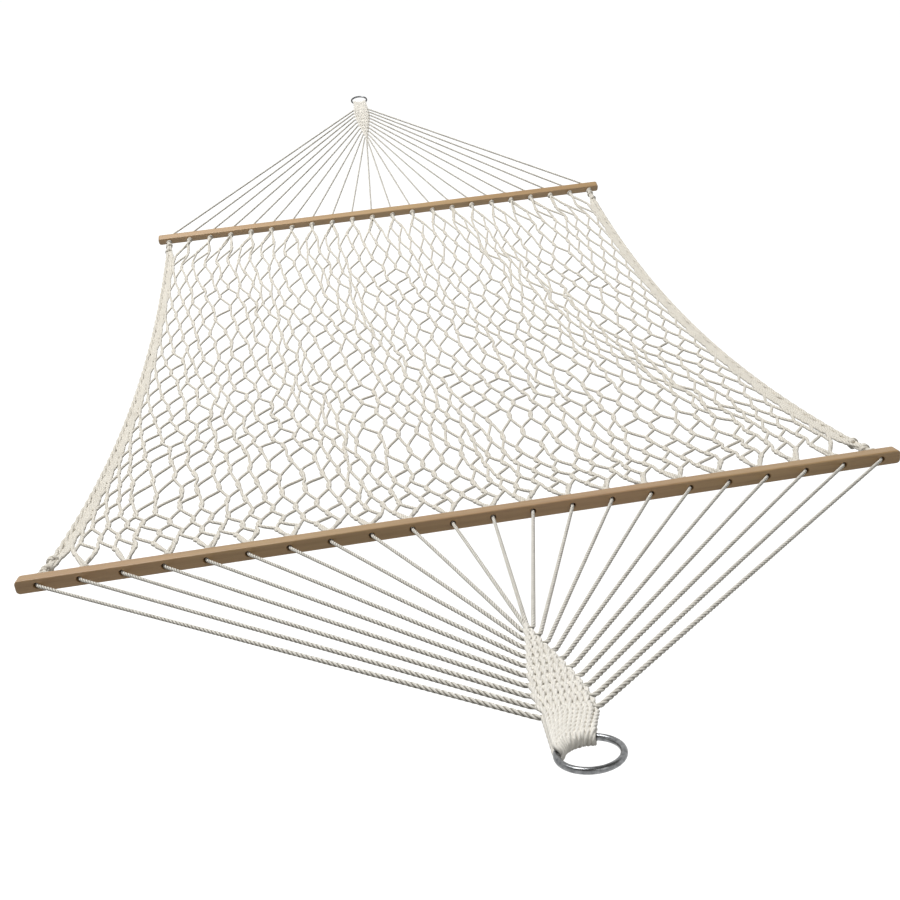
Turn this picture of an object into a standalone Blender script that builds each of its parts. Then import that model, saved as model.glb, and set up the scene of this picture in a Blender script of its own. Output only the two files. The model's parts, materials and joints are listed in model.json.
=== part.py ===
"""Rope hammock with two wooden spreader bars, hung taut between its two end rings.

Metres, +Z up. The origin is the centre of the near ring, where the hammock is hooked up. +Y runs
from the near ring to the far ring, and +X runs along the spreader bars.
"""
import math

import bmesh
import bpy
from mathutils import Matrix, Vector

# Bars, and where they hang
BAR_LENGTH = 1.500
BAR_SIDE = 0.024
BAR_EDGE = 0.003
NEAR_BAR_TILT = math.radians(8.5)  # outer side up, in line with the ropes' pull
FAR_BAR_TILT = math.radians(24.0)
BED_LENGTH = 1.980  # bar centre to bar centre, level
HARNESS_RUN = 0.790  # bar centre to ring centre, level
HARNESS_RISE = 0.245  # ring centre above bar centre

# Rope holes
HOLE_COUNT = 22
HOLE_DIAMETER = 0.009
HOLE_MARGIN = 0.034  # bar end to the centre of the first hole
HOLE_SIDES = 12
HOLE_PITCH = (BAR_LENGTH - 2 * HOLE_MARGIN) / (HOLE_COUNT - 1)

# Ropes
ROPE_DIAMETER = 0.0048
BEND_STANDOFF = 0.003  # the ropes bend on a line this far off the wood
ROPE_SIDES = 8
GAP = 0.0004

# End rings
RING_OUTER = 0.066
RING_WIRE = 0.0066
RING_MEAN_RADIUS = (RING_OUTER - RING_WIRE) / 2
RING_STEPS = 28

# Woven clews, measured from the ring's centre towards the bar
CLEW_ROOT = 0.040
CLEW_SHOULDER = 0.077
CLEW_TIP = 0.320
CLEW_ROOT_HALF = 0.0225
CLEW_SHOULDER_HALF = 0.0280
CLEW_TIP_HALF = 0.0060
CLEW_THICKNESS = 0.010
CLEW_WRAP_HALF = 0.0215  # half the width of the loops round the ring
INNER_LEG_OFFSET = 0.003
LEGS_PER_SIDE = HOLE_COUNT // 2
FIRST_LEG = 0.082
LAST_SIDE_LEG = 0.305

# Netting
BED_SAG = 0.100
BED_WAIST = 0.006
NET_THICKNESS = 0.006
NET_STRAND = 0.010
CELLS_ACROSS = 11
CELL_ROWS = 15
EDGE_ROPE_DIAMETER = 0.012
EDGE_ROPE_END = 0.006  # the side ropes stop this far short of the bend line
EDGE_ROPE_STEPS = 26

# A cell is one unit wide; its points and shoulders lie this far from its centre
CELL_POINT = 0.70
CELL_SHOULDER = 0.35
ROW_PITCH = CELL_POINT + CELL_SHOULDER

BEND_REACH = BAR_SIDE / 2 + BEND_STANDOFF  # bar centre to either bend line
HOLE_X = [HOLE_PITCH * (i - (HOLE_COUNT - 1) / 2) for i in range(HOLE_COUNT)]

COLLECTION = bpy.context.scene.collection


def clear_scene():
    for item in list(bpy.data.objects):
        bpy.data.objects.remove(item, do_unlink=True)


def material(name, colour, roughness, metallic=0.0):
    made = bpy.data.materials.new(name)
    made.use_nodes = True
    shader = made.node_tree.nodes["Principled BSDF"]
    shader.inputs["Base Color"].default_value = (*colour, 1.0)
    shader.inputs["Roughness"].default_value = roughness
    shader.inputs["Metallic"].default_value = metallic
    return made


def add_object(name, data, skin, parent=None, location=(0.0, 0.0, 0.0)):
    made = bpy.data.objects.new(name, data)
    COLLECTION.objects.link(made)
    if skin:
        data.materials.append(skin)
    made.parent = parent
    made.location = location
    return made


def add_empty(name, parent=None, location=(0.0, 0.0, 0.0), rotation=(0.0, 0.0, 0.0)):
    made = add_object(name, None, None, parent, location)
    made.rotation_euler = rotation
    made.empty_display_size = 0.05
    return made


def mesh_from(name, shape):
    bmesh.ops.recalc_face_normals(shape, faces=shape.faces)
    data = bpy.data.meshes.new(name)
    shape.to_mesh(data)
    shape.free()
    return data


# Spreader bars


def bar_mesh(name):
    shape = bmesh.new()
    bmesh.ops.create_cube(shape, size=1.0)
    bmesh.ops.scale(shape, vec=(BAR_LENGTH, BAR_SIDE, BAR_SIDE), verts=shape.verts)
    return mesh_from(name, shape)


def hole_cutter(name, parent):
    shape = bmesh.new()
    for x in HOLE_X:
        place = Matrix.Translation((x, 0, 0)) @ Matrix.Rotation(math.pi / 2, 4, "X")
        bmesh.ops.create_cone(
            shape,
            cap_ends=True,
            segments=HOLE_SIDES,
            radius1=HOLE_DIAMETER / 2,
            radius2=HOLE_DIAMETER / 2,
            depth=2 * BAR_SIDE,
            matrix=place,
        )
    made = add_object(name, mesh_from(name, shape), None, parent)
    made.hide_render = True
    made.display_type = "WIRE"
    return made


def add_bar(name, hinge, skin):
    """A bar with its edges eased and its rope holes bored, its centre a bend's reach off the hinge."""
    bar = add_object(name, bar_mesh(name), skin, hinge, (0, BEND_REACH, 0))
    ease = bar.modifiers.new("eased_edges", "BEVEL")
    ease.width = BAR_EDGE
    ease.segments = 2
    bore = bar.modifiers.new("rope_holes", "BOOLEAN")
    bore.operation = "DIFFERENCE"
    bore.solver = "EXACT"
    bore.object = hole_cutter(f"{name}_hole_cutter", bar)


# Harness: clew and legs, in the plane from the bend line (y = 0) to the ring's centre (y = reach)


def clew_half_width(from_ring):
    share = (from_ring - CLEW_SHOULDER) / (CLEW_TIP - CLEW_SHOULDER)
    return CLEW_SHOULDER_HALF + share * (CLEW_TIP_HALF - CLEW_SHOULDER_HALF)


def add_clew(name, reach, hinge, skin):
    outline = [
        (CLEW_ROOT_HALF, CLEW_ROOT),
        (CLEW_SHOULDER_HALF, CLEW_SHOULDER),
        (CLEW_TIP_HALF, CLEW_TIP),
    ]
    outline += [(-half, from_ring) for half, from_ring in reversed(outline)]
    shape = bmesh.new()
    low = -CLEW_THICKNESS / 2
    base = shape.faces.new([shape.verts.new((x, reach - v, low)) for x, v in outline])
    raised = bmesh.ops.extrude_face_region(shape, geom=[base])
    lifted = [part for part in raised["geom"] if isinstance(part, bmesh.types.BMVert)]
    bmesh.ops.translate(shape, vec=(0, 0, CLEW_THICKNESS), verts=lifted)
    add_object(name, mesh_from(name, shape), skin, hinge)


def leg_end(rank, side, reach):
    """The point where a leg meets the clew, and the outward normal of the clew's face there.

    Rank 0 is the outermost leg. The innermost one meets the clew's tip, the others its side.
    """
    if rank == LEGS_PER_SIDE - 1:
        return Vector((side * INNER_LEG_OFFSET, reach - CLEW_TIP, 0)), Vector((0, -1, 0))
    from_ring = FIRST_LEG + rank * (LAST_SIDE_LEG - FIRST_LEG) / (LEGS_PER_SIDE - 2)
    taper = (CLEW_SHOULDER_HALF - CLEW_TIP_HALF) / (CLEW_TIP - CLEW_SHOULDER)
    normal = Vector((side, -taper, 0)).normalized()
    return Vector((side * clew_half_width(from_ring), reach - from_ring, 0)), normal


def leg_mesh(name, start, end, normal):
    """A straight rope, cut square at the bar and parallel to the clew's face at the clew."""
    along = (end - start).normalized()
    across = along.cross(Vector((0, 0, 1)))
    shape = bmesh.new()
    rings = [[], []]
    for step in range(ROPE_SIDES):
        turn = 2 * math.pi * (step + 0.5) / ROPE_SIDES
        spoke = math.cos(turn) * across + math.sin(turn) * Vector((0, 0, 1))
        first = start + spoke * ROPE_DIAMETER / 2
        to_face = (end + normal * GAP - first).dot(normal) / along.dot(normal)
        rings[0].append(shape.verts.new(first))
        rings[1].append(shape.verts.new(first + along * to_face))
    bmesh.ops.bridge_loops(shape, edges=[edge for ring in rings for edge in loop_edges(shape, ring)])
    for ring in rings:
        shape.faces.new(ring)
    return mesh_from(name, shape)


def loop_edges(shape, ring):
    return [shape.edges.new((ring[i - 1], ring[i])) for i in range(len(ring))]


def add_legs(end_name, reach, hinge, turned, skin):
    """Leg ropes 01 to 22, counted from the hammock's left (-X)."""
    for number, x in enumerate(HOLE_X, 1):
        local_x = -x if turned else x
        side = math.copysign(1, local_x)
        rank = min(number - 1, HOLE_COUNT - number)
        end, normal = leg_end(rank, side, reach)
        name = f"{end_name}_leg_rope_{number:02d}"
        add_object(name, leg_mesh(name, Vector((local_x, 0, 0)), end, normal), skin, hinge)


# Rings


def add_ring(name, reach, harness_hinge, skin):
    """A ring that pivots about the middle of the stretch of wire that the clew's loops hold."""
    chord = math.sqrt(RING_MEAN_RADIUS**2 - CLEW_WRAP_HALF**2)
    pivot = (RING_MEAN_RADIUS + chord) / 2
    hinge = add_empty(f"{name}_hinge", harness_hinge, (0, reach - pivot, 0))
    shape = bmesh.new()
    bmesh.ops.create_circle(
        shape,
        segments=ROPE_SIDES,
        radius=RING_WIRE / 2,
        matrix=Matrix.Translation((RING_MEAN_RADIUS, 0, 0)) @ Matrix.Rotation(math.pi / 2, 4, "X"),
    )
    bmesh.ops.spin(
        shape,
        geom=shape.edges[:],
        axis=(0, 0, 1),
        cent=(0, 0, 0),
        angle=2 * math.pi,
        steps=RING_STEPS,
        use_merge=True,
    )
    data = mesh_from(name, shape)
    data.shade_smooth()
    add_object(name, data, skin, hinge, (0, pivot, 0))


# One end: bar, harness and ring, chained from the line where the netting meets the bar


def add_end(name, bar_y, turned, tilt, skins):
    outward = -1 if turned else 1
    lean = Vector((0, outward * math.cos(tilt), math.sin(tilt)))
    centre = Vector((0, bar_y, -HARNESS_RISE))
    net_hinge = add_empty(
        f"{name}_net_hinge",
        None,
        centre - lean * BEND_REACH,
        (tilt, 0, math.pi if turned else 0),
    )
    add_bar(f"{name}_spreader_bar", net_hinge, skins["wood"])
    run = HARNESS_RUN - BEND_REACH * math.cos(tilt)
    rise = HARNESS_RISE - BEND_REACH * math.sin(tilt)
    reach = math.hypot(run, rise)
    harness_hinge = add_empty(
        f"{name}_harness_hinge",
        net_hinge,
        (0, 2 * BEND_REACH, 0),
        (math.atan2(rise, run) - tilt, 0, 0),
    )
    add_clew(f"{name}_clew", reach, harness_hinge, skins["rope"])
    add_legs(name, reach, harness_hinge, turned, skins["rope"])
    add_ring(f"{name}_ring", reach, harness_hinge, skins["steel"])
    return centre - lean * BEND_REACH


# Netting and side ropes


class Bed:
    """The sagging, slightly waisted surface between the two lines where the netting meets the bars."""

    def __init__(self, near, far):
        self.near = near
        self.length = far.y - near.y
        self.rise = far.z - near.z
        self.edge_half = HOLE_X[-1]
        self.net_half = self.edge_half - EDGE_ROPE_DIAMETER / 2 - GAP

    def droop(self, share):
        return 1 - (2 * share - 1) ** 2

    def point(self, across, share, half):
        narrowed = half - BED_WAIST * self.droop(share)
        z = self.near.z + self.rise * share - BED_SAG * self.droop(share)
        return Vector((across * narrowed, self.near.y + share * self.length, z))


def cell_outline(centre_x, centre_y):
    """A cell's corners in order, cut off where it would pass the netting's left or right side."""
    corners = [
        (0.0, CELL_POINT),
        (0.5, CELL_SHOULDER),
        (0.5, -CELL_SHOULDER),
        (0.0, -CELL_POINT),
        (-0.5, -CELL_SHOULDER),
        (-0.5, CELL_SHOULDER),
    ]
    inside = [(centre_x + x, centre_y + y) for x, y in corners]
    return [point for point in inside if 0 <= point[0] <= CELLS_ACROSS]


def net_mesh(name, bed):
    height = (CELL_ROWS - 1) * ROW_PITCH + 2 * CELL_POINT
    cell_width = 2 * bed.net_half / CELLS_ACROSS
    inset = 1 - NET_STRAND / cell_width
    shape = bmesh.new()
    corners = {}

    def place(x, y):
        return bed.point(2 * x / CELLS_ACROSS - 1, (y + CELL_POINT) / height, bed.net_half)

    for row in range(CELL_ROWS):
        shifted = row % 2
        centres = range(CELLS_ACROSS + 1) if shifted else [i + 0.5 for i in range(CELLS_ACROSS)]
        for centre_x in centres:
            outline = cell_outline(centre_x, row * ROW_PITCH)
            middle_x = sum(x for x, _ in outline) / len(outline)
            middle_y = sum(y for _, y in outline) / len(outline)
            outer = []
            inner = []
            for x, y in outline:
                key = (round(x, 3), round(y, 3))
                if key not in corners:
                    corners[key] = shape.verts.new(place(x, y))
                outer.append(corners[key])
                near_x = middle_x + (x - middle_x) * inset
                near_y = middle_y + (y - middle_y) * inset
                inner.append(shape.verts.new(place(near_x, near_y)))
            for i in range(len(outline)):
                shape.faces.new((outer[i - 1], outer[i], inner[i], inner[i - 1]))
    return mesh_from(name, shape)


def add_net(name, bed, skin):
    net = add_object(name, net_mesh(name, bed), skin)
    thicken = net.modifiers.new("rope_thickness", "SOLIDIFY")
    thicken.thickness = NET_THICKNESS
    thicken.offset = 0


def add_edge_rope(name, bed, side, skin):
    data = bpy.data.curves.new(name, "CURVE")
    data.dimensions = "3D"
    data.bevel_depth = EDGE_ROPE_DIAMETER / 2
    data.bevel_resolution = 2
    data.use_fill_caps = True
    line = data.splines.new("POLY")
    line.points.add(EDGE_ROPE_STEPS - 1)
    first = EDGE_ROPE_END / bed.length
    for step, point in enumerate(line.points):
        share = first + (1 - 2 * first) * step / (EDGE_ROPE_STEPS - 1)
        point.co = (*bed.point(side, share, bed.edge_half), 1)
    add_object(name, data, skin)


def main():
    clear_scene()
    skins = {
        "wood": material("varnished_wood", (0.47, 0.31, 0.16), 0.45),
        "rope": material("cotton_rope", (0.80, 0.77, 0.69), 0.90),
        "steel": material("galvanised_steel", (0.52, 0.53, 0.54), 0.35, 1.0),
    }
    near = add_end("near", HARNESS_RUN, True, NEAR_BAR_TILT, skins)
    far = add_end("far", HARNESS_RUN + BED_LENGTH, False, FAR_BAR_TILT, skins)
    bed = Bed(near, far)
    add_net("net_bed", bed, skins["rope"])
    add_edge_rope("left_edge_rope", bed, -1, skins["rope"])
    add_edge_rope("right_edge_rope", bed, 1, skins["rope"])


main()
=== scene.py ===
"""Looks of the rope hammock: laid cotton ropes, woven clews, varnished bars and steel rings.

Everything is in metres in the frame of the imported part. +Y runs from the near ring to the far
ring, +X runs along the spreader bars and +Z is up.
"""
import json
import math

import bmesh
import bpy
import numpy as np
from mathutils import Matrix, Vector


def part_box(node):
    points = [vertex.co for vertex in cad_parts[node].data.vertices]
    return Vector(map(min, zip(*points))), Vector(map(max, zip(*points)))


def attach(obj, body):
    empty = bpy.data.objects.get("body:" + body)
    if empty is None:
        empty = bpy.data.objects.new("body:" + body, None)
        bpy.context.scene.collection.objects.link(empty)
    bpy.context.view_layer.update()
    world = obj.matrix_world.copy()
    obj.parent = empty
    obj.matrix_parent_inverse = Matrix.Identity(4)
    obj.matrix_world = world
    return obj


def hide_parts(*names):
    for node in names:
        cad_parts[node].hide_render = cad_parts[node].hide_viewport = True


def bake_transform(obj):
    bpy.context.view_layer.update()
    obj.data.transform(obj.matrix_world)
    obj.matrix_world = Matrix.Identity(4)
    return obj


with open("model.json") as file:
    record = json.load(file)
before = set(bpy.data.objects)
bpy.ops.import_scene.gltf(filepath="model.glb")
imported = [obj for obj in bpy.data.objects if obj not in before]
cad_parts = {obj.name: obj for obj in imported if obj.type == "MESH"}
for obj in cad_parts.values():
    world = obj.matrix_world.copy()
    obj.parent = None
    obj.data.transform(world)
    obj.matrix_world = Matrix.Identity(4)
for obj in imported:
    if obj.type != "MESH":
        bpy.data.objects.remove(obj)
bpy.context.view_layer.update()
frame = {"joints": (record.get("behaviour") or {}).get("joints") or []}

ACROSS = np.array([1.0, 0.0, 0.0])
UP = np.array([0.0, 0.0, 1.0])

# Rope
ROPE_RADIUS = 0.0030
CLEW_ROPE_RADIUS = 0.0031
NET_ROPE_RADIUS = 0.0031  # slack rope is fluffier
ROPE_LAY = 0.027  # length of one full turn of its three strands
STRAND_GROOVE = 0.32  # depth of the groove between strands, as a share of the radius
ROPE_SIDES = 12
NET_SIDES = 7
LEG_STEP = 0.0023  # spacing of the points along a leg
CLEW_STEP = 0.0018
KNOT_STEP = 0.0026
COIL_POINTS = 14  # for each turn of a coil

# Spreader bars
BAR_SIDE = 0.024
BAR_EDGE = 0.0026
BAR_END_ROUND = 0.007
HOLE_COUNT = 22
HOLE_MARGIN = 0.034
HOLE_RADIUS = 0.0045
HOLE_MOUTH = 0.0011  # how far each hole flares at the wood's face

# End rings
RING_RADIUS = 0.0297
RING_WIRE_RADIUS = 0.0033
RING_STEPS, WIRE_STEPS = 96, 24

# Clews, measured from the ring's centre towards the bar
CLEW_STRAND_PITCH = 0.00245
CLEW_LAYER_HEIGHT = 0.0031
CLEW_BULGE = 0.42  # how much wider than a plain taper its middle is
FIRST_LEG = 0.082
LAST_SIDE_LEG = 0.305
CLEW_TIP = 0.320
CLEW_LOOPS = HOLE_COUNT // 2
ROW_REACH = 0.004  # how far before and after a row a strand stays over or under it
ROW_SHIFT = 0.0022  # how far from the row's middle its left and right legs leave
TURN_ROUND = 0.003  # how far before leaving a strand starts to turn across
WRAP_PITCH = 0.0048  # spacing of the loops round the ring
WRAP_SKEW = {"near": math.radians(27), "far": 0.0}  # how far round the ring they sit
WRAP_PRESS = 0.92  # a loop's distance from the wire, as a share of the rope's radius
CLEW_BEND = 0.064, 0.036  # two distances from the ring's centre

# Legs
LEG_ROOT = 0.006  # how far inside the clew the two middle legs start
LIP_SHIFT = 0.0016  # how far a leg is pulled to the side of its hole
LIP_DROP = 0.0004
LIP_RUN = 0.009  # straight run before the hole
LIP_TUCK = 0.001
LEG_TAIL = 0.006  # how far a leg runs on past the bar

# Bed
BED_SAG = 0.100
BED_SLACK = 0.028  # how far the netting by the near bar hangs below the side ropes
BED_WAIST = 0.006  # how far each side rope draws in at mid length
NET_SLOPE_AT = 0.04  # where from the bar the netting's slope there is read

# Netting: rows of twisted pairs of strands, with single strands crossing between the rows
STRANDS_PER_HOLE = 4
STRAND_COUNT = HOLE_COUNT * STRANDS_PER_HOLE
COLUMNS = STRAND_COUNT // 2
NET_ROWS = 25
NET_FIRST_ROW = 0.090  # from the bar
ROW_GROWTH = 0.13  # how much closer the near rows, and wider apart the far ones, than the mean
FAR_STRETCH = 0.030  # how much taller the cells by the far bar are, together
FAR_STRETCH_ROWS = 1.5  # how many rows that fades over
DOUBLE_LENGTH = 0.037  # length of a twisted pair
DOUBLE_SPREAD = 0.82, 1.12  # shortest and longest pair, as shares of that
DOUBLE_RADIUS = 0.0029  # how far each rope of a pair lies from the pair's middle
DOUBLE_DEPTH = 0.0024  # how far the ropes of a pair pass over and under each other
DOUBLE_CROSS = 0.3  # share of a pair's length in which its ropes change sides, at each end
DOUBLE_LEAN = 0.0016  # how far a pair leans to each side of its middle
DOUBLE_STEPS = 11
CROSSING_EASE = 0.7  # how much of a crossing strand's sideways way is eased, not straight
END_ROW_SHARE = 0.7  # length of the pairs next to a bar, as a share of the others
EDGE_INSET = 0.006  # from the side rope's middle to the first column
EDGE_PITCH = 0.0047  # spacing of the crowded columns
EDGE_COLUMNS = 3.2  # how many columns crowd beside each side rope
EDGE_KNEE = 0.25  # how gently the crowding ends, in columns
EDGE_PRESS = 0.45  # how much closer the ropes of a crowded pair lie

# Unevenness of the netting
WAVE_COUNT = 5
X_WAVES = (2, 0.5), (8, 2.5)  # fewest and most waves across and along the bed
Y_WAVES = (1, 2), (6, 5)
X_RIPPLE = 0.040  # how far the waves move a pair
Y_RIPPLE = 0.026
X_SCATTER = 0.0050  # how far a pair is moved on its own
Y_SCATTER = 0.0044
LEAN_SCATTER = 0.002
SCATTER_LIMIT = 1.6
JUMP_SHARE = 0.12  # share of the pairs that are moved further
JUMP_GAIN = 1.6

# Bundles and knots at the holes
BUNDLE_LENGTH = 0.022
BUNDLE_SPREAD = 0.7, 1.25  # shortest and longest bundle, as shares of that
BUNDLE_START = 0.002
BUNDLE_RADIUS = 0.0044
BUNDLE_TWIST = 1.4 * math.pi
BUNDLE_DRIFT = 0.45  # how far it leans towards its first pairs, as a share of the whole way
KNOT_RADIUS = 0.0068
KNOT_PITCH = 0.0056
KNOT_PLACE = {"near": (0.006, 0.010), "far": (0.003, 0.005)}  # from the bar
KNOT_TURNS = 1.5, 2.6
KNOT_TILT = 0.15, 0.6

# Side ropes
EDGE_LAY = 0.11
EDGE_LAY_RADIUS = 0.0027
EDGE_START = 0.003
EDGE_STEPS = 190
CORNER_WRAPS = (0.030, 2.3), (0.068, 1.6)  # from the bar, and turns
CORNER_WRAP_RADIUS = 0.0082
CORNER_WRAP_PITCH = 0.005
CORNER_WRAP_TILT = 0.2
CORNER_WRAP_INSET = 0.002

random = np.random.default_rng(11)


def unit(vectors):
    return vectors / np.linalg.norm(vectors, axis=-1, keepdims=True)


def square_to(direction):
    """The most upward direction at a right angle to another."""
    return unit(UP - UP.dot(direction) * direction)


class End:
    """One end of the hammock: its bar, harness and ring, and the directions its ropes follow."""

    def __init__(self, name):
        joints = {joint["name"]: np.array(joint["pos_m"]) for joint in frame["joints"]}
        self.name = name
        self.net_hinge = joints[f"{name}_bar_hinge"]
        self.hinge = joints[f"{name}_harness_hinge"]
        self.ring = np.array(sum(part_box(f"{name}_ring"), start=Vector())) / 2
        self.bar = np.array(sum(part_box(f"{name}_spreader_bar"), start=Vector())) / 2
        self.lean = unit(self.hinge - self.net_hinge)
        self.bar_up = square_to(self.lean)
        self.bedward = unit(self.hinge - self.ring)
        self.up = square_to(self.bedward)

    def harness(self, x, from_ring, height=0.0):
        """A point of the harness, by its distance from the ring's centre along the middle line."""
        return self.ring + ACROSS * x + self.bedward * from_ring + self.up * height

    def in_bar(self, x, along, height=0.0):
        """A point by its place along the bar, along its holes (outward) and up its side."""
        return self.bar + ACROSS * x + self.lean * along + self.bar_up * height


NEAR = End("near")
FAR = End("far")
BAR_LENGTH = (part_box("near_spreader_bar")[1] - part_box("near_spreader_bar")[0]).x
HOLE_PITCH = (BAR_LENGTH - 2 * HOLE_MARGIN) / (HOLE_COUNT - 1)
HOLE_X = HOLE_PITCH * (np.arange(HOLE_COUNT) - (HOLE_COUNT - 1) / 2)
BED_LENGTH = FAR.net_hinge[1] - NEAR.net_hinge[1]


# Meshes of rope


def smooth_path(points, spacing, passes):
    """A polyline resampled at even spacing with its corners rounded; its ends stay put."""
    points = np.asarray(points, float)
    steps = np.linalg.norm(np.diff(points, axis=0), axis=1)
    along = np.concatenate([[0.0], np.cumsum(steps)])
    count = max(4, int(round(along[-1] / spacing)) + 1)
    at = np.linspace(0, along[-1], count)
    path = np.stack([np.interp(at, along, points[:, axis]) for axis in range(3)], axis=1)
    return soften(path[None], passes)[0]


def soften(paths, passes):
    """Rounds corners by averaging each point with its neighbours."""
    for _ in range(passes):
        middle = (paths[:, :-2] + 2 * paths[:, 1:-1] + paths[:, 2:]) / 4
        paths = np.concatenate([paths[:, :1], middle, paths[:, -1:]], axis=1)
    return paths


def directions_along(paths):
    """Two directions square to several paths at each point, turning no more than they must."""
    tangents = unit(np.gradient(paths, axis=1))
    first = tangents[:, 0]
    steep = np.abs(first[:, 2:]) > 0.9
    normal = np.where(steep, ACROSS, UP)
    normals = np.empty_like(paths)
    for step in range(paths.shape[1]):
        tangent = tangents[:, step]
        normal = unit(normal - (normal * tangent).sum(-1, keepdims=True) * tangent)
        normals[:, step] = normal
    return normals, np.cross(tangents, normals)


def rope_object(name, groups, sides, twisted, material, radius=ROPE_RADIUS):
    """Ropes swept along paths and joined in one object.

    groups is a list of arrays (ropes, points, 3). A twisted rope has its three strands as shape.
    UVs hold the length along the rope in metres and the turn round it.
    """
    verts = []
    loops = []
    uvs = []
    sizes = []
    base = 0
    share = np.arange(sides) / sides
    profile = np.ones(sides)
    if twisted:
        crest = np.abs(np.cos(1.5 * 2 * math.pi * share)) ** 0.75
        profile = 1 - STRAND_GROOVE * (1 - crest)
    for paths in groups:
        ropes, count = paths.shape[:2]
        normals, aside = directions_along(paths)
        steps = np.linalg.norm(np.diff(paths, axis=1), axis=2)
        along = np.concatenate([np.zeros((ropes, 1)), np.cumsum(steps, axis=1)], axis=1)
        along += random.uniform(0, ROPE_LAY, (ropes, 1))
        lay = along / ROPE_LAY if twisted else np.zeros_like(along)
        turn = 2 * math.pi * (share + lay[..., None])
        spokes = np.cos(turn)[..., None] * normals[:, :, None]
        spokes += np.sin(turn)[..., None] * aside[:, :, None]
        verts.append((paths[:, :, None] + spokes * (radius * profile)[:, None]).reshape(-1, 3))
        index = base + np.arange(ropes * count * sides).reshape(ropes, count, sides)
        base += index.size
        ahead = np.roll(index, -1, axis=2)
        quads = np.stack([index[:, :-1], ahead[:, :-1], ahead[:, 1:], index[:, 1:]], axis=-1)
        v = share + lay[..., None]
        v_ahead = v + 1 / sides
        u = np.broadcast_to(along[..., None], v.shape)
        corner_u = np.stack([u[:, :-1], u[:, :-1], u[:, 1:], u[:, 1:]], axis=-1)
        corner_v = np.stack([v[:, :-1], v_ahead[:, :-1], v_ahead[:, 1:], v[:, 1:]], axis=-1)
        caps = np.concatenate([index[:, 0, ::-1], index[:, -1]])
        cap_v = np.concatenate([v[:, 0, ::-1], v[:, -1]])
        cap_u = np.concatenate([u[:, 0], u[:, -1]])
        loops += [quads.ravel(), caps.ravel()]
        quad_uv = np.stack([corner_u, corner_v], axis=-1)
        cap_uv = np.stack([cap_u, cap_v], axis=-1)
        uvs += [quad_uv.reshape(-1, 2), cap_uv.reshape(-1, 2)]
        sizes += [np.full(quads.size // 4, 4), np.full(len(caps), sides)]
    sizes = np.concatenate(sizes)
    mesh = bpy.data.meshes.new(name)
    mesh.vertices.add(base)
    mesh.vertices.foreach_set("co", np.concatenate(verts).astype(np.float32).ravel())
    mesh.loops.add(int(sizes.sum()))
    mesh.loops.foreach_set("vertex_index", np.concatenate(loops).astype(np.int32))
    mesh.polygons.add(len(sizes))
    mesh.polygons.foreach_set("loop_start", (np.cumsum(sizes) - sizes).astype(np.int32))
    mesh.polygons.foreach_set("use_smooth", np.ones(len(sizes), bool))
    layer = mesh.uv_layers.new(name="rope")
    layer.data.foreach_set("uv", np.concatenate(uvs).astype(np.float32).ravel())
    mesh.update(calc_edges=True)
    mesh.validate()
    return show(name, mesh, material)


def show(name, mesh, material):
    made = bpy.data.objects.new(name, mesh)
    bpy.context.scene.collection.objects.link(made)
    mesh.materials.append(material)
    return made


# Materials


class Nodes:
    """Short calls that add shader nodes to one material. Inputs i0, i1 and so on go by number."""

    def __init__(self, name):
        self.material = bpy.data.materials.new(name)
        self.material.use_nodes = True
        self.tree = self.material.node_tree
        self.shader = self.tree.nodes["Principled BSDF"]

    def add(self, kind, settings=None, **inputs):
        node = self.tree.nodes.new(kind)
        for key, value in (settings or {}).items():
            setattr(node, key, value)
        for key, value in inputs.items():
            numbered = key[0] == "i" and key[1:].isdigit()
            self.feed(node.inputs[int(key[1:]) if numbered else key], value)
        return node.outputs[0]

    def feed(self, socket, value):
        if isinstance(value, bpy.types.NodeSocket):
            self.tree.links.new(value, socket)
        else:
            socket.default_value = value

    def math(self, operation, first, second=0.0, third=0.0):
        return self.add("ShaderNodeMath", {"operation": operation}, i0=first, i1=second, i2=third)

    def mix(self, share, first, second):
        node = self.tree.nodes.new("ShaderNodeMix")
        node.data_type = "RGBA"
        self.feed(node.inputs["Factor"], share)
        self.feed(node.inputs["A"], first)
        self.feed(node.inputs["B"], second)
        return node.outputs["Result"]

    def ramp(self, value, low, high, from_low=0.0, from_high=1.0):
        node = self.tree.nodes.new("ShaderNodeMapRange")
        self.feed(node.inputs["Value"], value)
        limits = {"From Min": from_low, "From Max": from_high, "To Min": low, "To Max": high}
        for key, number in limits.items():
            node.inputs[key].default_value = number
        return node.outputs["Result"]

    def noise(self, vector, scale, detail=2.0, roughness=0.5):
        return self.add(
            "ShaderNodeTexNoise", Vector=vector, Scale=scale, Detail=detail, Roughness=roughness
        )

    def bump(self, height, strength, distance):
        node = self.tree.nodes.new("ShaderNodeBump")
        node.inputs["Strength"].default_value = strength
        node.inputs["Distance"].default_value = distance
        self.feed(node.inputs["Height"], height)
        return node.outputs["Normal"]

    def finish(self, **sockets):
        for key, value in sockets.items():
            self.feed(self.shader.inputs[key.replace("_", " ")], value)
        return self.material


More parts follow.
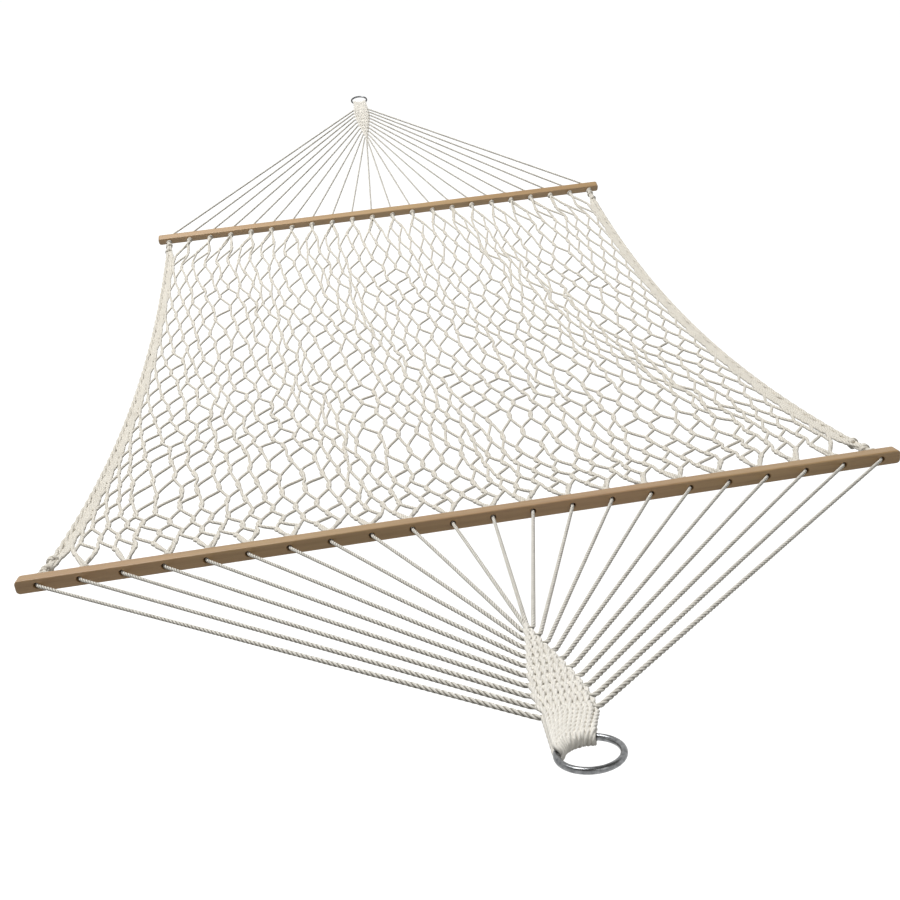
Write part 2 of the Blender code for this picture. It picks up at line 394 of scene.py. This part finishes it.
def rope_material(name, light, groove_shade_and_dark_tone, groove_shade_share, bump_strength):
    """Laid cotton: three strands with painted shade in the groove between them, fine fibres and uneven
    colour.
    """
    nodes = Nodes(name)
    uv = nodes.add("ShaderNodeUVMap", {"uv_map": "rope"})
    split = nodes.tree.nodes.new("ShaderNodeSeparateXYZ")
    nodes.feed(split.inputs[0], uv)
    along, turn = split.outputs[0], split.outputs[1]
    helix = nodes.math("SUBTRACT", turn, nodes.math("DIVIDE", along, ROPE_LAY))
    phase = nodes.math("FRACT", nodes.math("MULTIPLY", helix, 3.0))
    crest = nodes.math("ABSOLUTE", nodes.math("MULTIPLY_ADD", phase, 2.0, -1.0))
    rounded = nodes.math("POWER", nodes.math("SINE", nodes.math("MULTIPLY", crest, math.pi / 2)), 0.7)
    fibre_along = nodes.math("MULTIPLY", along, 160.0)
    fibre_round = nodes.math("MULTIPLY", helix, 16.0)
    fibre_place = nodes.add("ShaderNodeCombineXYZ", i0=fibre_along, i1=fibre_round)
    fibres = nodes.noise(fibre_place, 3.0, 3.0, 0.6)
    patch_place = nodes.add("ShaderNodeCombineXYZ", i0=nodes.math("MULTIPLY", along, 22.0), i1=turn)
    patches = nodes.noise(patch_place, 1.0, 2.0)
    # painted shade: the colour darkens towards the groove between the strands, where shade falls
    painted_groove_shade = nodes.ramp(rounded, groove_shade_share, 0.0, 0.15, 0.85)
    shade = nodes.math("MULTIPLY", painted_groove_shade, nodes.ramp(fibres, 0.6, 1.2))
    shade = nodes.math("ADD", shade, nodes.ramp(patches, 0.0, 0.22, 0.35, 0.75))
    colour = nodes.mix(nodes.math("MINIMUM", shade, 1.0), (*light, 1.0), (*groove_shade_and_dark_tone, 1.0))
    height = nodes.math("MULTIPLY_ADD", fibres, 0.25, rounded)
    return nodes.finish(
        Base_Color=colour,
        Roughness=0.92,
        Sheen_Weight=0.12,
        Sheen_Roughness=0.5,
        Specular_IOR_Level=0.15,
        Normal=nodes.bump(height, bump_strength, 0.0007),
    )


def wood_material():
    """Varnished hardwood with its grain along the bar. The far bar is painted lighter, as painted light
    standing for the brighter light that falls on it.
    """
    nodes = Nodes("varnished_wood_grain")
    place = nodes.tree.nodes.new("ShaderNodeTexCoord").outputs["Object"]
    long_grain = nodes.add("ShaderNodeMapping", Vector=place, Scale=(1.6, 70.0, 70.0))
    fine_grain = nodes.add("ShaderNodeMapping", Vector=place, Scale=(14.0, 420.0, 420.0))
    broad = nodes.noise(long_grain, 1.0, 4.0, 0.55)
    fine = nodes.noise(fine_grain, 1.0, 3.0, 0.6)
    tone = nodes.noise(nodes.add("ShaderNodeMapping", Vector=place, Scale=(2.4, 8.0, 8.0)), 1.0, 1.0)
    streaks = nodes.ramp(broad, 0.0, 1.0, 0.32, 0.68)
    base = nodes.mix(streaks, (0.44, 0.275, 0.118, 1.0), (0.30, 0.178, 0.066, 1.0))
    place_axes = nodes.tree.nodes.new("ShaderNodeSeparateXYZ")
    nodes.feed(place_axes.inputs[0], place)
    # painted light: the far bar's wood is mixed towards a lighter colour, standing for the brighter light
    # on it
    painted_far_light = nodes.ramp(place_axes.outputs[1], 0.0, 0.4, 1.5, 2.0)
    base = nodes.mix(painted_far_light, base, (0.68, 0.47, 0.25, 1.0))
    warm = nodes.mix(nodes.ramp(tone, 0.0, 0.45, 0.4, 0.7), base, (0.42, 0.238, 0.115, 1.0))
    pores = nodes.ramp(fine, 0.0, 0.35, 0.55, 0.75)
    colour = nodes.mix(pores, warm, (0.17, 0.095, 0.035, 1.0))
    height = nodes.math("MULTIPLY_ADD", fine, -0.6, broad)
    return nodes.finish(
        Base_Color=colour,
        Roughness=nodes.ramp(broad, 0.40, 0.55),
        Coat_Weight=0.25,
        Coat_Roughness=0.25,
        Normal=nodes.bump(height, 0.25, 0.0004),
    )


def steel_material():
    """Zinc-plated wire: grey, faintly mottled, with drawn marks."""
    nodes = Nodes("galvanised_steel_wire")
    place = nodes.tree.nodes.new("ShaderNodeTexCoord").outputs["Object"]
    mottle = nodes.noise(place, 160.0, 4.0, 0.6)
    fine = nodes.noise(place, 900.0, 2.0)
    blotches = nodes.ramp(mottle, 0.0, 1.0, 0.35, 0.65)
    colour = nodes.mix(blotches, (0.27, 0.275, 0.28, 1.0), (0.13, 0.134, 0.138, 1.0))
    return nodes.finish(
        Base_Color=colour,
        Metallic=1.0,
        Roughness=nodes.ramp(mottle, 0.20, 0.36),
        Normal=nodes.bump(fine, 0.08, 0.0002),
    )


# Second colours: painted shade in the groove between strands, also the darkest fibres and patches
LEG_ROPE = rope_material("cotton_leg_rope", (0.86, 0.83, 0.76), (0.17, 0.15, 0.12), 0.95, 0.3)
NET_ROPE = rope_material("cotton_net_rope", (0.86, 0.82, 0.74), (0.34, 0.30, 0.23), 0.45, 0.7)
CLEW_ROPE = rope_material("cotton_clew_rope", (0.92, 0.89, 0.83), (0.45, 0.41, 0.33), 0.22, 0.5)
WOOD = wood_material()
STEEL = steel_material()


# Spreader bars


def mesh_from(name, shape):
    bmesh.ops.recalc_face_normals(shape, faces=shape.faces)
    mesh = bpy.data.meshes.new(name)
    shape.to_mesh(mesh)
    shape.free()
    return mesh


def bar_blank():
    """A square bar with rounded ends and eased edges, centred, its holes' direction along Y."""
    shape = bmesh.new()
    bmesh.ops.create_cube(shape, size=1.0)
    bmesh.ops.scale(shape, vec=(BAR_LENGTH, BAR_SIDE, BAR_SIDE), verts=shape.verts)
    ends = [e for e in shape.edges if abs((e.verts[0].co - e.verts[1].co).y) > BAR_SIDE / 2]
    bmesh.ops.bevel(shape, geom=ends, offset=BAR_END_ROUND, segments=6, profile=0.5, affect="EDGES")
    crisp = [e for e in shape.edges if len(e.link_faces) == 2 and e.calc_face_angle() > math.radians(40)]
    bmesh.ops.bevel(shape, geom=crisp, offset=BAR_EDGE, segments=4, profile=0.5, affect="EDGES")
    return mesh_from("bar_blank", shape)


def hole_spools():
    """Cutters for the rope holes: round, and flared at both mouths."""
    half = BAR_SIDE / 2
    profile = [
        (0.0, -2 * half),
        (HOLE_RADIUS + HOLE_MOUTH + half, -2 * half),
        (HOLE_RADIUS + HOLE_MOUTH, -half),
        (HOLE_RADIUS + 0.3 * HOLE_MOUTH, HOLE_MOUTH * 0.6 - half),
        (HOLE_RADIUS, 1.6 * HOLE_MOUTH - half),
    ]
    profile += [(radius, -y) for radius, y in reversed(profile)]
    shape = bmesh.new()
    for x in HOLE_X:
        points = [shape.verts.new((x + radius, y, 0)) for radius, y in profile]
        edges = [shape.edges.new(pair) for pair in zip(points, points[1:])]
        bmesh.ops.spin(
            shape, geom=edges, cent=(x, 0, 0), axis=(0, 1, 0), angle=2 * math.pi, steps=24, use_merge=True
        )
    bmesh.ops.remove_doubles(shape, verts=shape.verts, dist=1e-6)
    return mesh_from("hole_spools", shape)


def add_bar(end):
    name = f"{end.name}_spreader_bar_wood"
    bar = show(name, bar_blank(), WOOD)
    cutter = show("hole_spools", hole_spools(), WOOD)
    bore = bar.modifiers.new("rope_holes", "BOOLEAN")
    bore.operation = "DIFFERENCE"
    bore.object = cutter
    bpy.context.view_layer.update()
    bored = bpy.data.meshes.new_from_object(bar.evaluated_get(bpy.context.evaluated_depsgraph_get()))
    bar.modifiers.clear()
    bpy.data.objects.remove(cutter)
    bar.data = bored
    outward = np.stack([ACROSS, end.lean, end.bar_up], axis=1)
    if np.linalg.det(outward) < 0:
        outward[:, 0] *= -1
    place = Matrix.Translation(end.bar) @ Matrix(outward.tolist()).to_4x4()
    bored.transform(place)
    bored.shade_smooth()
    bored.set_sharp_from_angle(angle=math.radians(38))
    bar.modifiers.new("even_normals", "WEIGHTED_NORMAL").keep_sharp = True
    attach(bar, f"{end.name}_bar")
    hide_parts(f"{end.name}_spreader_bar")


# End rings


def add_ring(end):
    name = f"{end.name}_ring_wire"
    shape = bmesh.new()
    rings = []
    for step in range(RING_STEPS):
        turn = 2 * math.pi * step / RING_STEPS
        spoke = end.bedward * math.cos(turn) + ACROSS * math.sin(turn)
        ring = []
        for side in range(WIRE_STEPS):
            tilt = 2 * math.pi * side / WIRE_STEPS
            offset = spoke * (RING_RADIUS + RING_WIRE_RADIUS * math.cos(tilt))
            point = end.ring + offset + end.up * RING_WIRE_RADIUS * math.sin(tilt)
            ring.append(shape.verts.new(point))
        rings.append(ring)
    for step in range(RING_STEPS):
        here, ahead = rings[step - 1], rings[step]
        for side in range(WIRE_STEPS):
            shape.faces.new((here[side - 1], here[side], ahead[side], ahead[side - 1]))
    mesh = mesh_from(name, shape)
    mesh.shade_smooth()
    ring = show(name, mesh, STEEL)
    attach(ring, f"{end.name}_ring")
    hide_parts(f"{end.name}_ring")


# Clews and legs


def row_place(row):
    """How far from the ring's centre a row of the clew's weave lies."""
    if row >= CLEW_LOOPS - 1:
        return CLEW_TIP
    return FIRST_LEG + row * (LAST_SIDE_LEG - FIRST_LEG) / (CLEW_LOOPS - 2)


def strand_x(strand, place):
    """How far across the clew a strand lies, a given distance from the ring's centre."""
    share = min(1.0, max(0.0, (place - FIRST_LEG) / (CLEW_TIP - FIRST_LEG)))
    bulge = 1 + CLEW_BULGE * math.sin(math.pi * share**0.8)
    return (strand - (HOLE_COUNT - 1) / 2) * CLEW_STRAND_PITCH * bulge


def clew_strand(end, strand):
    """A strand of the clew from just past the ring to the row where it turns across and leaves."""
    last = min(strand, HOLE_COUNT - 1 - strand)
    points = []
    for row in range(last):
        top = 1 if (strand - row) % 2 else -1
        place = row_place(row)
        x = strand_x(strand, place)
        points.append(end.harness(x, place - ROW_REACH, top * CLEW_LAYER_HEIGHT))
        points.append(end.harness(x, place + ROW_REACH, top * CLEW_LAYER_HEIGHT))
    place = row_place(last)
    x = strand_x(strand, place)
    if last == CLEW_LOOPS - 1:
        points.append(end.harness(x, place - ROW_REACH))
        points.append(end.harness(x, place + 0.001))
        return points
    side = 1 if x < 0 else -1
    place += side * ROW_SHIFT
    points.append(end.harness(x, place - TURN_ROUND))
    points.append(end.harness(x + side * 0.002, place))
    points.append(end.harness(0, place))
    return points


def clew_rope(end, loop):
    """One rope of the clew: up one strand, round the ring's wire, and down the next."""
    swing = WRAP_SKEW[end.name] + ((CLEW_LOOPS - 1) / 2 - loop) * WRAP_PITCH / RING_RADIUS
    spoke = end.bedward * math.cos(swing) - ACROSS * math.sin(swing)
    wire = end.ring + spoke * RING_RADIUS
    reach = RING_WIRE_RADIUS + ROPE_RADIUS * WRAP_PRESS
    lower = clew_strand(end, 2 * loop)
    upper = clew_strand(end, 2 * loop + 1)
    turns = np.linspace(0, math.pi, 9)
    wrap = [wire + reach * (math.cos(turn) * end.up - math.sin(turn) * spoke) for turn in turns]
    return lower[::-1] + wrap[::-1] + upper


def add_clew(end):
    paths = [smooth_path(clew_rope(end, loop), CLEW_STEP, 4)[None] for loop in range(CLEW_LOOPS)]
    name = f"{end.name}_clew_weave"
    clew = rope_object(name, paths, ROPE_SIDES, True, CLEW_ROPE, CLEW_ROPE_RADIUS)
    end.harness(0, CLEW_BEND[0])
    end.harness(0, CLEW_BEND[1])
    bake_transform(clew)
    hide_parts(f"{end.name}_clew")


def leg_path(end, number):
    """A leg from the middle of the clew, out of its side, and through its hole in the bar."""
    rank = min(number - 1, HOLE_COUNT - number)
    side = -1 if number <= HOLE_COUNT // 2 else 1
    hole = HOLE_X[number - 1]
    if rank == CLEW_LOOPS - 1:
        x = side * CLEW_STRAND_PITCH / 2
        points = [end.harness(x, row_place(rank) - LEG_ROOT), end.harness(x, row_place(rank))]
    else:
        place = row_place(rank) + side * ROW_SHIFT
        edge = abs(strand_x(rank, place)) + ROPE_RADIUS
        points = [end.harness(0, place), end.harness(side * edge, place)]
    pull = unit(points[-1] - end.in_bar(hole, BAR_SIDE / 2))
    lip = end.in_bar(hole, BAR_SIDE / 2) + ACROSS * pull[0] * LIP_SHIFT - end.bar_up * LIP_DROP
    points.append(lip + pull * LIP_RUN)
    points.append(lip - end.lean * LIP_TUCK)
    points.append(end.in_bar(hole, 0))
    points.append(end.in_bar(hole, -BAR_SIDE / 2 - LEG_TAIL))
    return smooth_path(points, LEG_STEP, 7)


def add_legs(end):
    for number in range(1, HOLE_COUNT + 1):
        name = f"{end.name}_leg_rope_{number:02d}"
        path = leg_path(end, number)[None]
        leg = rope_object(f"{name}_laid", [path], ROPE_SIDES, True, LEG_ROPE)
        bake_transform(leg)
        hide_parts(name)


# Netting


def droop(along):
    """How far down its curve the bed is: 0 at the bars and 1 in the middle."""
    share = along / BED_LENGTH
    return 1 - (2 * share - 1) ** 2


def bed_point(x, along, height=0.0):
    """Points of the bed: x across, along from the near bend line, height above its surface."""
    x, along, height = np.broadcast_arrays(x, along, height)
    from_bar = np.clip(along / (BED_LENGTH / 4), 0, 1)
    slack = BED_SLACK * np.sin(math.pi * from_bar) * (1 - (x / HOLE_X[-1]) ** 2)
    level = NEAR.net_hinge[2] + (FAR.net_hinge[2] - NEAR.net_hinge[2]) * along / BED_LENGTH
    z = level - BED_SAG * droop(along) - slack + height
    return np.stack([x, NEAR.net_hinge[1] + along, z], axis=-1)


def column_x(column, along):
    """Where a column of the netting runs: crowded beside the edge ropes, even between them."""
    edge = HOLE_X[-1] - BED_WAIST * droop(along) - EDGE_INSET
    crowded = EDGE_COLUMNS * np.minimum(1, 0.25 + 2.2 * droop(along))
    from_edge = np.minimum(column, COLUMNS - column)
    knee = np.logaddexp(0, (from_edge - crowded) / EDGE_KNEE) * EDGE_KNEE
    spread = (edge - EDGE_PITCH * COLUMNS / 2) / (COLUMNS / 2 - crowded)
    x = edge - EDGE_PITCH * from_edge - spread * knee
    return np.where(column < COLUMNS / 2, -x, x)


def ripple(column, along, waves):
    """A smooth unevenness, from a few long waves across the netting."""
    total = 0
    for across, lengthwise, start in waves:
        turns = across * column / COLUMNS + lengthwise * along / BED_LENGTH
        total = total + np.sin(2 * math.pi * turns + start)
    return total / len(waves)


def net_nodes():
    """Centres of the twisted pairs, row by row, with their half lengths, leans and snugness."""
    pitch = (BED_LENGTH - 2 * NET_FIRST_ROW - FAR_STRETCH) / (NET_ROWS - 1)
    x_waves = [(*random.uniform(*X_WAVES), random.uniform(0, 6)) for _ in range(WAVE_COUNT)]
    y_waves = [(*random.uniform(*Y_WAVES), random.uniform(0, 6)) for _ in range(WAVE_COUNT)]
    rows = []
    for row in range(NET_ROWS):
        columns = np.arange(COLUMNS + 1.0) if row % 2 else np.arange(COLUMNS) + 0.5
        from_end = min(row, NET_ROWS - 1 - row)
        grown = row * (1 - ROW_GROWTH * (1 - row / (NET_ROWS - 1)))
        stretched = FAR_STRETCH * math.exp((row + 1 - NET_ROWS) / FAR_STRETCH_ROWS)
        along = NET_FIRST_ROW + grown * pitch + stretched + np.zeros_like(columns)
        loose = np.clip((np.minimum(columns, COLUMNS - columns) - EDGE_COLUMNS) / 3, 0, 1)
        calm = min(1.0, 0.25 + 0.25 * from_end)
        jumps = random.uniform(0, 1, (2, len(columns))) < JUMP_SHARE
        shifts = random.normal(0, 1, (2, len(columns))).clip(-SCATTER_LIMIT, SCATTER_LIMIT)
        shifts = shifts * np.where(jumps, JUMP_GAIN, 1.0)
        x = column_x(columns, along)
        x_wave = ripple(columns, along, x_waves)
        x = x + loose * calm * (X_RIPPLE * x_wave + X_SCATTER * shifts[0])
        before = ripple(columns, along - pitch / 2, y_waves)
        after = ripple(columns, along + pitch / 2, y_waves)
        stretch = 1 + loose * calm * Y_RIPPLE * (after - before) / pitch
        y_wave = ripple(columns, along, y_waves)
        along = along + loose * calm * (Y_RIPPLE * y_wave + Y_SCATTER * shifts[1])
        half = DOUBLE_LENGTH / 2 * stretch * random.uniform(*DOUBLE_SPREAD, len(columns))
        lean = DOUBLE_LEAN + LEAN_SCATTER * random.normal(0, 1, len(columns)) * loose
        if from_end == 0:
            half = half * END_ROW_SHARE
            hole_x = HOLE_X[np.arange(len(columns)) // 2]
            lean = (x - hole_x) * half / (NET_FIRST_ROW - BUNDLE_LENGTH) * (1 if row else -1)
        crowd = np.clip(EDGE_COLUMNS + 1 - np.minimum(columns, COLUMNS - columns), 0, 1)
        rows.append((x, along, half, lean, 1 - EDGE_PRESS * crowd))
    return rows


def pair_of(strand, row):
    """Which twisted pair of a row a strand belongs to, and on which side it enters."""
    if row % 2:
        return (strand + 1) // 2, np.where(strand % 2, -1, 1)
    return strand // 2, np.where(strand % 2, 1, -1)


def bundle_points(strand, nodes_row, near):
    """Strands side by side from a hole's knot to where they part for the first row."""
    hole = strand // STRANDS_PER_HOLE
    pair, _ = pair_of(strand, 0)
    target = nodes_row[0][pair]
    centre_x = HOLE_X[hole]
    length = (BUNDLE_LENGTH * random.uniform(*BUNDLE_SPREAD, HOLE_COUNT))[hole]
    start = random.uniform(0, 2 * math.pi, HOLE_COUNT)[hole]
    mean = np.array([target[hole == k].mean() for k in range(HOLE_COUNT)])[hole]
    points = []
    for share in np.linspace(0.0, 1.0, 7):
        along = BUNDLE_START + share * length
        middle = centre_x + (mean - centre_x) * BUNDLE_DRIFT * share * length / NET_FIRST_ROW
        radius = BUNDLE_RADIUS * min(1.0, 0.55 + 2 * share)
        turn = start + (strand % STRANDS_PER_HOLE) * math.pi / 2 + BUNDLE_TWIST * share
        place = along if near else BED_LENGTH - along
        points.append(bed_point(middle + radius * np.cos(turn), place, radius * np.sin(turn)))
    return points


def smooth_step(share):
    """0 before 0 and 1 after 1, with an even bend between."""
    share = min(max(share, 0.0), 1.0)
    return share * share * (3 - 2 * share)


def crossing(start, end, ease):
    """Points of single ropes between pairs: they leave and arrive lengthwise, crossing between."""
    points = []
    for share in (0.2, 0.4, 0.6, 0.8):
        eased = (1 - ease) * share + ease * smooth_step(share)
        points.append(start + (end - start) * [eased, share, share])
    return points


def net_strands():
    """Every strand of the netting from the near bar to the far one, as (strands, points, 3)."""
    rows = net_nodes()
    strand = np.arange(STRAND_COUNT)
    points = bundle_points(strand, rows[0], True)
    ease = 0
    for row, (x, along, half, lean, snug) in enumerate(rows):
        pair, side = pair_of(strand, row)
        samples = []
        for share in np.linspace(0, 1, DOUBLE_STEPS):
            shift = 2 * share - 1
            first_cross = smooth_step(share / DOUBLE_CROSS)
            last_cross = smooth_step((share - 1) / DOUBLE_CROSS + 1)
            wound = 0.5 * (first_cross + last_cross)
            turn = np.where(side < 0, math.pi, 0) + 2 * math.pi * wound
            middle = bed_point(x[pair] - lean[pair] * shift, along[pair] + half[pair] * shift)
            aside = DOUBLE_RADIUS * snug[pair] * np.cos(turn)
            over = DOUBLE_DEPTH * snug[pair] * np.sin(turn)
            offset = aside[:, None] * ACROSS + over[:, None] * UP
            samples.append(middle + offset)
        points += crossing(points[-1], samples[0], ease) + samples
        ease = CROSSING_EASE
    far = bundle_points(strand, rows[-1], False)[::-1]
    points += crossing(points[-1], far[0], 0) + far
    paths = np.stack(points, axis=1)
    return soften(paths, 3)


def coil(centre, axis, radius, turns, length, tilt):
    """A rope's turns round an axis, with both ends tucked in. The tilt also turns its start."""
    axis = unit(axis)
    first = unit(np.cross(axis, UP))
    second = np.cross(first, axis)
    count = int(turns * COIL_POINTS)
    share = np.linspace(0, 1, count)
    tuck = np.minimum(1, 0.45 + 6 * np.minimum(share, 1 - share))
    turn = 2 * math.pi * turns * share + tilt * 5
    out = first * np.cos(turn)[:, None] + second * np.sin(turn)[:, None]
    slope = tilt * radius * np.cos(turn)
    return centre + out * (radius * tuck)[:, None] + axis * (length * (share - 0.5) + slope)[:, None]


def hole_knots(near):
    """The hitch that ties the netting's strands to the leg at each hole."""
    knots = []
    end = NEAR if near else FAR
    for x in HOLE_X:
        along = random.uniform(*KNOT_PLACE[end.name])
        centre = bed_point(x, along if near else BED_LENGTH - along)
        turns = random.uniform(*KNOT_TURNS)
        tilt = random.uniform(*KNOT_TILT)
        path = coil(centre, -end.lean, KNOT_RADIUS, turns, KNOT_PITCH * turns, tilt)
        knots.append(smooth_path(path, KNOT_STEP, 2)[None])
    return knots


def edge_rope(side, near):
    """Half of a side rope: three ropes laid round each other along the netting's edge."""
    along = np.linspace(EDGE_START, BED_LENGTH / 2, EDGE_STEPS)
    along = along if near else BED_LENGTH - along
    x = side * (HOLE_X[-1] - BED_WAIST * droop(along))
    ropes = []
    for number in range(3):
        turn = 2 * math.pi * (number / 3 + along / EDGE_LAY)
        aside, over = EDGE_LAY_RADIUS * np.cos(turn), EDGE_LAY_RADIUS * np.sin(turn)
        ropes.append(bed_point(x + aside, along, over))
    return np.stack(ropes)


def corner_wraps(side, near):
    """Whippings that bind the side rope's end just off the bar."""
    wraps = []
    for from_bar, turns in CORNER_WRAPS:
        place = from_bar if near else BED_LENGTH - from_bar
        x = side * (HOLE_X[-1] - BED_WAIST * droop(place) - CORNER_WRAP_INSET)
        centre = bed_point(x, place)
        ahead = bed_point(x, place + 0.01) - centre
        length = CORNER_WRAP_PITCH * turns
        path = coil(centre, ahead, CORNER_WRAP_RADIUS, turns, length, CORNER_WRAP_TILT)
        wraps.append(smooth_path(path, KNOT_STEP, 2)[None])
    return wraps


def add_netting():
    strands = net_strands()
    middle = strands.shape[1] // 2
    halves = {"near": strands[:, : middle + 1], "far": strands[:, middle:]}
    for end in (NEAR, FAR):
        near = end is NEAR
        inward = unit(bed_point(0, NET_SLOPE_AT) - bed_point(0, 0))
        if not near:
            inward = inward * [1, -1, 1]
        knots = hole_knots(near)
        cut = STRAND_COUNT // 2
        for side_name, side, chosen, tied in (
            ("left", -1, slice(0, cut), knots[: HOLE_COUNT // 2]),
            ("right", 1, slice(cut, STRAND_COUNT), knots[HOLE_COUNT // 2 :]),
        ):
            pieces = [
                (f"net_{end.name}_{side_name}", [halves[end.name][chosen]] + tied, "net_bed"),
                (
                    f"{side_name}_selvage_{end.name}",
                    [edge_rope(side, near)] + corner_wraps(side, near),
                    f"{side_name}_edge_rope",
                ),
            ]
            for name, groups, node in pieces:
                piece = rope_object(name, groups, NET_SIDES, False, NET_ROPE, NET_ROPE_RADIUS)
                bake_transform(piece)
                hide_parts(node)


# Stage


def add_camera():
    """The view from above and just behind the near ring, looking down the bed."""
    yaw, pitch, roll = 0.089, 0.498, -0.100
    camera = bpy.data.objects.new("camera", bpy.data.cameras.new("camera"))
    bpy.context.scene.collection.objects.link(camera)
    camera.data.lens = 40.35
    camera.data.sensor_width = 36.0
    camera.data.clip_start = 0.02
    camera.matrix_world = (
        Matrix.Translation((-0.153, -0.635, 0.667))
        @ Matrix.Rotation(-yaw, 4, "Z")
        @ Matrix.Rotation(math.pi / 2 - pitch, 4, "X")
        @ Matrix.Rotation(roll, 4, "Z")
    )
    bpy.context.scene.camera = camera


def add_light(name, location, target, size, power):
    lamp = bpy.data.objects.new(name, bpy.data.lights.new(name, "AREA"))
    bpy.context.scene.collection.objects.link(lamp)
    lamp.data.shape = "DISK"
    lamp.data.size = size
    lamp.data.energy = power
    lamp.location = location
    aim = Vector(target) - Vector(location)
    lamp.rotation_euler = aim.to_track_quat("-Z", "Y").to_euler()


def add_stage():
    """A white floor that sweeps up far from the hammock, and soft light from above."""
    shape = bmesh.new()
    profile = [(0, 0), (22, 0), (34, 2.2), (44, 8), (50, 18), (52, 34)]  # radius, height
    points = [shape.verts.new((radius, 0, height)) for radius, height in profile]
    edges = [shape.edges.new(pair) for pair in zip(points, points[1:])]
    bmesh.ops.spin(
        shape, geom=edges, cent=(0, 0, 0), axis=(0, 0, 1), angle=2 * math.pi, steps=64, use_merge=True
    )
    bmesh.ops.remove_doubles(shape, verts=shape.verts, dist=1e-5)
    floor_mesh = mesh_from("floor", shape)
    floor_mesh.shade_smooth()
    nodes = Nodes("pale_floor")
    pale = nodes.finish(
        Base_Color=(0.25, 0.25, 0.25, 1.0),
        Roughness=1.0,
        Specular_IOR_Level=0.0,
        Emission_Color=(1.0, 1.0, 1.0, 1.0),
        Emission_Strength=0.97,
    )
    floor = show("floor", floor_mesh, pale)
    floor.location = (0, 1.8, -1.25)
    floor.visible_diffuse = False
    world = bpy.data.worlds.new("studio")
    bpy.context.scene.world = world
    world.use_nodes = True
    background = world.node_tree.nodes["Background"]
    background.inputs["Color"].default_value = (1.0, 0.99, 0.93, 1.0)
    background.inputs["Strength"].default_value = 0.19
    add_light("key", (-2.2, 3.4, 6.0), target=(0, 1.6, -0.3), size=3.0, power=430)
    add_light("fill", (1.6, -2.4, 3.4), target=(0, 1.0, -0.3), size=3.0, power=45)
    bpy.context.scene.view_settings.view_transform = "Standard"


add_camera()
for hammock_end in (NEAR, FAR):
    add_bar(hammock_end)
    add_ring(hammock_end)
    add_clew(hammock_end)
    add_legs(hammock_end)
add_netting()
add_stage()
